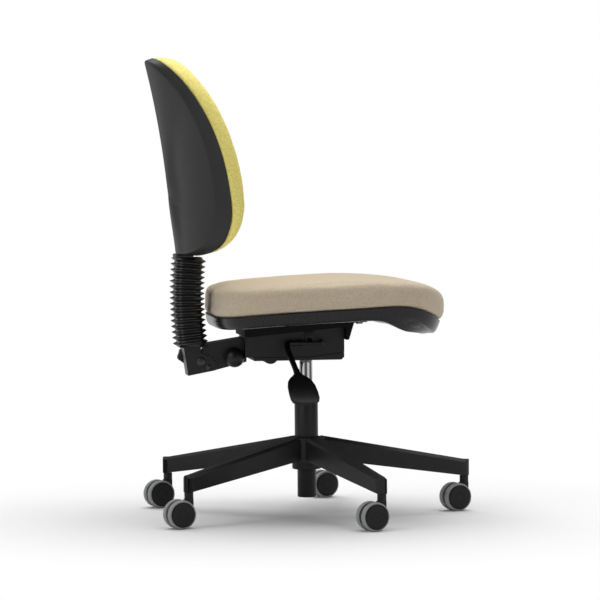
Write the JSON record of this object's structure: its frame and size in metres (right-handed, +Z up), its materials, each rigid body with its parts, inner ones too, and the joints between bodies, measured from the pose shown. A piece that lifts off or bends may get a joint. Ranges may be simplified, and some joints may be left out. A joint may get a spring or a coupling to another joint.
{
  "type": "office chair",
  "caption": "Armless office chair with padded seat and wrap-round back, release lever, reclining and sliding backrest with bellows, gas column and star base on twin-wheel castors.",
  "frame": {"origin": "on the gas column's axis at floor level", "axes": "+Z up, the sitter faces -Y, the sitter's left is +X"},
  "size_m": [0.7075, 0.693, 0.979],
  "materials": {
    "black_nylon": "fine moulded texture",
    "black_acetal": "satin",
    "grey_tread": "matte",
    "black_painted_steel": "satin powder coat",
    "chrome": "polished",
    "bright_steel": "bright zinc",
    "charcoal_plastic": "fine moulded texture",
    "plywood": "bare",
    "beige_cloth": "woven",
    "yellow_cloth": "woven",
    "black_rubber": "matte"
  },
  "bodies": {
    "base": {"base_star": "black_nylon", "column_tube": "black_painted_steel", "column_bush": "black_acetal", "thrust_bearing": "bright_steel"},
    "rod": {"piston_rod": "bright_steel", "retaining_clip": "bright_steel"},
    "seat": {"gas_cylinder": "chrome", "mechanism_housing": "black_painted_steel", "housing_cover": "black_nylon", "seat_plate": "black_painted_steel", "bolt_plate": "bright_steel", "seat_pan": "charcoal_plastic", "seat_board": "plywood", "seat_cushion": "beige_cloth", "hinge_pin": "black_painted_steel", "recline_spring": "bright_steel"},
    "valve": {"valve_button": "bright_steel"},
    "lever": {"height_lever": "black_painted_steel", "lever_paddle": "black_nylon"},
    "tension": {"tension_knob": "black_nylon"},
    "back_arm": {"back_bracket": "black_painted_steel", "stop_pin": "black_painted_steel", "spring_toe": "black_painted_steel", "bellows": "black_rubber"},
    "clamp": {"clamp_knob": "black_nylon"},
    "backrest": {"upright_bar": "black_painted_steel", "bar_clamp": "bright_steel", "back_board": "plywood", "back_shell": "charcoal_plastic", "back_cushion": "yellow_cloth"},
    "castor_1": {"castor_stem_1": "bright_steel", "castor_body_1": "black_acetal"},
    "left_wheel_1": {"wheel_left_1": "black_acetal", "tyre_left_1": "grey_tread"},
    "right_wheel_1": {"wheel_right_1": "black_acetal", "tyre_right_1": "grey_tread"},
    "castor_2": {"castor_stem_2": "bright_steel", "castor_body_2": "black_acetal"},
    "left_wheel_2": {"wheel_left_2": "black_acetal", "tyre_left_2": "grey_tread"},
    "right_wheel_2": {"wheel_right_2": "black_acetal", "tyre_right_2": "grey_tread"},
    "castor_3": {"castor_stem_3": "bright_steel", "castor_body_3": "black_acetal"},
    "left_wheel_3": {"wheel_left_3": "black_acetal", "tyre_left_3": "grey_tread"},
    "right_wheel_3": {"wheel_right_3": "black_acetal", "tyre_right_3": "grey_tread"},
    "castor_4": {"castor_stem_4": "bright_steel", "castor_body_4": "black_acetal"},
    "left_wheel_4": {"wheel_left_4": "black_acetal", "tyre_left_4": "grey_tread"},
    "right_wheel_4": {"wheel_right_4": "black_acetal", "tyre_right_4": "grey_tread"},
    "castor_5": {"castor_stem_5": "bright_steel", "castor_body_5": "black_acetal"},
    "left_wheel_5": {"wheel_left_5": "black_acetal", "tyre_left_5": "grey_tread"},
    "right_wheel_5": {"wheel_right_5": "black_acetal", "tyre_right_5": "grey_tread"}
  },
  "joints": [
    {"name": "seat_swivel", "type": "hinge", "parent": "base", "child": "rod", "pos_m": [0, 0, 0.05], "axis": [0, 0, 1], "continuous": true},
    {"name": "seat_height", "type": "slide", "parent": "rod", "child": "seat", "axis": [0, 0, 1], "range_m": [-0.06, 0.055]},
    {"name": "lever_lift", "type": "hinge", "parent": "seat", "child": "lever", "pos_m": [-0.064, 0, 0.37], "axis": [0, 1, 0], "range_deg": [0, 5], "stiffness_Nm_per_rad": 1.5, "springref_deg": -11.46},
    {"name": "valve_press", "type": "slide", "parent": "seat", "child": "valve", "axis": [0, 0, 1], "range_m": [-0.006, 0], "stiffness_N_per_m": 300, "springref_m": 0.002},
    {"name": "tension_turn", "type": "hinge", "parent": "seat", "child": "tension", "pos_m": [0, 0.158, 0.34], "axis": [1, 0, 0], "range_deg": [-540, 540]},
    {"name": "back_recline", "type": "hinge", "parent": "seat", "child": "back_arm", "pos_m": [0, 0.2278, 0.3321], "axis": [-1, 0, 0], "range_deg": [0, 15], "stiffness_Nm_per_rad": 40, "springref_deg": -17.19, "deforming": ["recline_spring"]},
    {"name": "clamp_turn", "type": "hinge", "parent": "back_arm", "child": "clamp", "pos_m": [0, 0.25304, 0.341], "axis": [1, 0, 0], "range_deg": [-360, 360]},
    {"name": "back_height", "type": "slide", "parent": "back_arm", "child": "backrest", "axis": [0, 0.1493, 0.9888], "range_m": [-0.02, 0.03], "deforming": ["bellows"]},
    {"name": "castor_swivel_1", "type": "hinge", "parent": "base", "child": "castor_1", "pos_m": [0, -0.3423, 0.09], "axis": [0, 0, 1], "continuous": true},
    {"name": "left_roll_1", "type": "hinge", "parent": "castor_1", "child": "left_wheel_1", "pos_m": [-0.00606, -0.32198, 0.03], "axis": [0.9583, 0.2857, 0], "continuous": true},
    {"name": "right_roll_1", "type": "hinge", "parent": "castor_1", "child": "right_wheel_1", "pos_m": [-0.00606, -0.32198, 0.03], "axis": [0.9583, 0.2857, 0], "continuous": true},
    {"name": "castor_swivel_2", "type": "hinge", "parent": "base", "child": "castor_2", "pos_m": [0.32555, -0.10578, 0.09], "axis": [0, 0, 1], "continuous": true},
    {"name": "left_roll_2", "type": "hinge", "parent": "castor_2", "child": "left_wheel_2", "pos_m": [0.31949, -0.08546, 0.03], "axis": [0.9583, 0.2857, 0], "continuous": true},
    {"name": "right_roll_2", "type": "hinge", "parent": "castor_2", "child": "right_wheel_2", "pos_m": [0.31949, -0.08546, 0.03], "axis": [0.9583, 0.2857, 0], "continuous": true},
    {"name": "castor_swivel_3", "type": "hinge", "parent": "base", "child": "castor_3", "pos_m": [0.2012, 0.27693, 0.09], "axis": [0, 0, 1], "continuous": true},
    {"name": "left_roll_3", "type": "hinge", "parent": "castor_3", "child": "left_wheel_3", "pos_m": [0.19514, 0.29724, 0.03], "axis": [0.9583, 0.2857, 0], "continuous": true},
    {"name": "right_roll_3", "type": "hinge", "parent": "castor_3", "child": "right_wheel_3", "pos_m": [0.19514, 0.29724, 0.03], "axis": [0.9583, 0.2857, 0], "continuous": true},
    {"name": "castor_swivel_4", "type": "hinge", "parent": "base", "child": "castor_4", "pos_m": [-0.2012, 0.27693, 0.09], "axis": [0, 0, 1], "continuous": true},
    {"name": "left_roll_4", "type": "hinge", "parent": "castor_4", "child": "left_wheel_4", "pos_m": [-0.20726, 0.29724, 0.03], "axis": [0.9583, 0.2857, 0], "continuous": true},
    {"name": "right_roll_4", "type": "hinge", "parent": "castor_4", "child": "right_wheel_4", "pos_m": [-0.20726, 0.29724, 0.03], "axis": [0.9583, 0.2857, 0], "continuous": true},
    {"name": "castor_swivel_5", "type": "hinge", "parent": "base", "child": "castor_5", "pos_m": [-0.32555, -0.10578, 0.09], "axis": [0, 0, 1], "continuous": true},
    {"name": "left_roll_5", "type": "hinge", "parent": "castor_5", "child": "left_wheel_5", "pos_m": [-0.3316, -0.08546, 0.03], "axis": [0.9583, 0.2857, 0], "continuous": true},
    {"name": "right_roll_5", "type": "hinge", "parent": "castor_5", "child": "right_wheel_5", "pos_m": [-0.3316, -0.08546, 0.03], "axis": [0.9583, 0.2857, 0], "continuous": true}
  ],
  "couplings": [
    {"joint": "valve_press", "follows": "lever_lift", "m_per_rad": -0.068}
  ]
}
